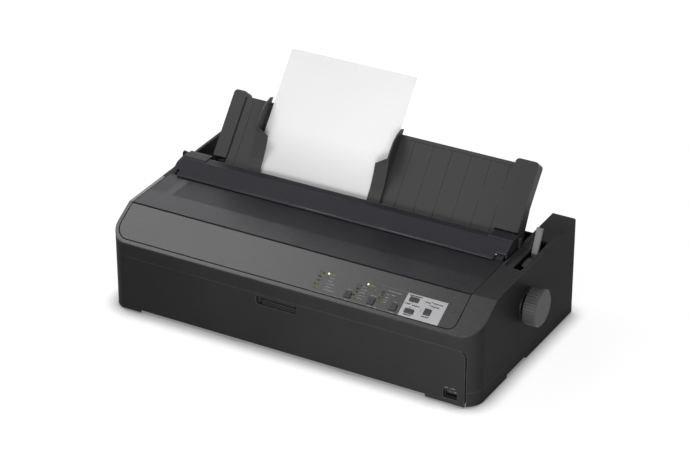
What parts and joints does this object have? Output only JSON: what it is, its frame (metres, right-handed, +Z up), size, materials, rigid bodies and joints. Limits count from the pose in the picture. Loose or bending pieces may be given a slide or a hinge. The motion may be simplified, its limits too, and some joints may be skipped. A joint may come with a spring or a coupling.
{
  "type": "dot matrix printer",
  "caption": "Wide-carriage impact printer with hinged tinted cover, folding sheet guide holding a sheet, feed knob, control panel and working mechanism inside.",
  "frame": {"origin": "under the middle of the whole object, on the surface it stands on", "axes": "+X to the user's right, +Y to the rear, +Z up"},
  "size_m": [0.639, 0.3338, 0.32],
  "materials": {
    "case_plastic": "fine-textured, satin",
    "panel_plastic": "fine-textured, matte",
    "plate_silver": "satin silver",
    "light_pipe": "clear, lit",
    "key_plastic": "satin",
    "tinted_cover": "smoke tinted, satin",
    "guide_plastic": "satin",
    "paper": "smooth, matte",
    "rubber": "matte",
    "steel": "ground",
    "zinc_sheet": "zinc plated",
    "gear_plastic": "natural white",
    "brass": "machined",
    "knob_plastic": "satin",
    "lever_plastic": "satin light grey",
    "board": "solder mask",
    "socket_black": "satin"
  },
  "bodies": {
    "case": {"lower_case": "case_plastic", "rubber_feet": "rubber", "upper_case": "case_plastic", "sloped_panel": "panel_plastic", "control_plate": "plate_silver", "status_lights": "light_pipe", "panel_board": "board", "cover_pins": "steel", "guide_pins": "steel", "knob_collar": "socket_black", "platen_bushes": "gear_plastic", "idler_pin": "steel", "feed_motor": "zinc_sheet", "left_side_frame": "zinc_sheet", "right_side_frame": "zinc_sheet", "front_guide_rod": "steel", "rear_guide_rod": "steel", "cross_frame": "zinc_sheet", "ribbon_cartridge": "key_plastic", "ribbon": "socket_black", "carriage_belt": "rubber", "carriage_motor": "zinc_sheet", "tractor_rail": "steel", "lever_pivot": "steel", "switch_housing": "socket_black", "main_board": "board", "rear_connectors": "zinc_sheet", "power_supply": "zinc_sheet", "ac_inlet": "socket_black"},
    "front_cover": {"front_cover": "case_plastic"},
    "top_cover": {"top_cover": "tinted_cover", "eject_ridge": "tinted_cover"},
    "paper_guide": {"paper_guide": "guide_plastic"},
    "left_edge_guide": {"left_edge_guide": "guide_plastic"},
    "right_edge_guide": {"right_edge_guide": "guide_plastic"},
    "paper_sheet": {"paper_sheet": "paper"},
    "platen": {"platen_shaft": "steel", "platen_roller": "rubber", "feed_knob": "knob_plastic", "platen_gear": "gear_plastic"},
    "idler_gear": {"idler_gear": "gear_plastic"},
    "feed_pinion": {"feed_pinion": "brass"},
    "tractor_idler": {"tractor_idler": "gear_plastic"},
    "tractor_shaft": {"tractor_shaft": "steel"},
    "left_tractor": {"left_tractor": "key_plastic"},
    "right_tractor": {"right_tractor": "key_plastic"},
    "left_sprocket": {"left_sprocket": "lever_plastic"},
    "right_sprocket": {"right_sprocket": "lever_plastic"},
    "carriage": {"carriage": "key_plastic", "print_head": "zinc_sheet"},
    "drive_pulley": {"drive_pulley": "brass"},
    "belt_pulley": {"belt_pulley": "gear_plastic"},
    "release_lever": {"release_lever": "lever_plastic"},
    "power_rocker": {"power_rocker": "socket_black"},
    "pitch_button": {"pitch_button": "key_plastic"},
    "font_button": {"font_button": "key_plastic"},
    "tear_off_button": {"tear_off_button": "key_plastic"},
    "load_button": {"load_button": "key_plastic"},
    "line_feed_button": {"line_feed_button": "key_plastic"},
    "pause_button": {"pause_button": "key_plastic"}
  },
  "joints": [
    {"name": "front_cover_tilt", "type": "hinge", "parent": "case", "child": "front_cover", "pos_m": [0, -0.16126, 0.01], "axis": [1, 0, 0], "range_deg": [0, 50]},
    {"name": "top_cover_lift", "type": "hinge", "parent": "case", "child": "top_cover", "pos_m": [0, 0.04264, 0.1655], "axis": [1, 0, 0], "range_deg": [-50, 0]},
    {"name": "paper_guide_recline", "type": "hinge", "parent": "case", "child": "paper_guide", "pos_m": [0, 0.05914, 0.148], "axis": [1, 0, 0], "range_deg": [-45, 0]},
    {"name": "left_edge_slide", "type": "slide", "parent": "paper_guide", "child": "left_edge_guide", "axis": [1, 0, 0], "range_m": [-0.022, 0.003]},
    {"name": "right_edge_slide", "type": "slide", "parent": "paper_guide", "child": "right_edge_guide", "axis": [1, 0, 0], "range_m": [-0.003, 0.165]},
    {"name": "sheet_slide", "type": "slide", "parent": "paper_guide", "child": "paper_sheet", "axis": [0, 0.6293, 0.7771], "range_m": [0, 0.16]},
    {"name": "platen_turn", "type": "hinge", "parent": "case", "child": "platen", "pos_m": [0, -0.00626, 0.0946], "axis": [1, 0, 0], "continuous": true},
    {"name": "idler_turn", "type": "hinge", "parent": "case", "child": "idler_gear", "pos_m": [0, -0.03035, 0.0602], "axis": [1, 0, 0], "continuous": true},
    {"name": "pinion_turn", "type": "hinge", "parent": "case", "child": "feed_pinion", "pos_m": [0, -0.00498, 0.05096], "axis": [1, 0, 0], "continuous": true},
    {"name": "tractor_idler_turn", "type": "hinge", "parent": "case", "child": "tractor_idler", "pos_m": [0, 0.03724, 0.0946], "axis": [1, 0, 0], "continuous": true},
    {"name": "tractor_shaft_turn", "type": "hinge", "parent": "case", "child": "tractor_shaft", "pos_m": [0, 0.07324, 0.0946], "axis": [1, 0, 0], "continuous": true},
    {"name": "left_tractor_slide", "type": "slide", "parent": "case", "child": "left_tractor", "axis": [1, 0, 0], "range_m": [-0.03, 0.11]},
    {"name": "right_tractor_slide", "type": "slide", "parent": "case", "child": "right_tractor", "axis": [1, 0, 0], "range_m": [-0.11, 0.18]},
    {"name": "left_sprocket_turn", "type": "hinge", "parent": "left_tractor", "child": "left_sprocket", "pos_m": [0, 0.07324, 0.0946], "axis": [1, 0, 0], "continuous": true},
    {"name": "right_sprocket_turn", "type": "hinge", "parent": "right_tractor", "child": "right_sprocket", "pos_m": [0, 0.07324, 0.0946], "axis": [1, 0, 0], "continuous": true},
    {"name": "carriage_slide", "type": "slide", "parent": "case", "child": "carriage", "axis": [1, 0, 0], "range_m": [-0.04, 0.34]},
    {"name": "drive_pulley_turn", "type": "hinge", "parent": "case", "child": "drive_pulley", "pos_m": [-0.249, -0.09486, 0.084], "axis": [0, 0, 1], "range_deg": [-2440, 290]},
    {"name": "belt_pulley_turn", "type": "hinge", "parent": "case", "child": "belt_pulley", "pos_m": [0.223, -0.09486, 0.084], "axis": [0, 0, 1], "range_deg": [-2440, 290]},
    {"name": "release_lever_swing", "type": "hinge", "parent": "case", "child": "release_lever", "pos_m": [0, 0.02314, 0.1], "axis": [1, 0, 0], "range_deg": [-18, 54]},
    {"name": "power_rocker_tilt", "type": "hinge", "parent": "case", "child": "power_rocker", "pos_m": [0, -0.14986, 0.0165], "axis": [1, 0, 0], "range_deg": [0, 16]},
    {"name": "pitch_press", "type": "slide", "parent": "case", "child": "pitch_button", "axis": [0, 0.4977, -0.8674], "range_m": [0, 0.001], "stiffness_N_per_m": 300},
    {"name": "font_press", "type": "slide", "parent": "case", "child": "font_button", "axis": [0, 0.4977, -0.8674], "range_m": [0, 0.001], "stiffness_N_per_m": 300},
    {"name": "tear_off_press", "type": "slide", "parent": "case", "child": "tear_off_button", "axis": [0, 0.4977, -0.8674], "range_m": [0, 0.001], "stiffness_N_per_m": 300},
    {"name": "load_press", "type": "slide", "parent": "case", "child": "load_button", "axis": [0, 0.4977, -0.8674], "range_m": [0, 0.001], "stiffness_N_per_m": 300},
    {"name": "line_feed_press", "type": "slide", "parent": "case", "child": "line_feed_button", "axis": [0, 0.4977, -0.8674], "range_m": [0, 0.001], "stiffness_N_per_m": 300},
    {"name": "pause_press", "type": "slide", "parent": "case", "child": "pause_button", "axis": [0, 0.4977, -0.8674], "range_m": [0, 0.001], "stiffness_N_per_m": 300}
  ],
  "couplings": [
    {"joint": "idler_turn", "follows": "platen_turn", "ratio": -1.3333},
    {"joint": "pinion_turn", "follows": "platen_turn", "ratio": 2.6667},
    {"joint": "tractor_idler_turn", "follows": "platen_turn", "ratio": -1.2308},
    {"joint": "tractor_shaft_turn", "follows": "platen_turn", "ratio": 1.4545},
    {"joint": "left_sprocket_turn", "follows": "platen_turn", "ratio": 1.4545},
    {"joint": "right_sprocket_turn", "follows": "platen_turn", "ratio": 1.4545},
    {"joint": "drive_pulley_turn", "follows": "carriage_slide", "rad_per_m": -125},
    {"joint": "belt_pulley_turn", "follows": "carriage_slide", "rad_per_m": -125}
  ]
}
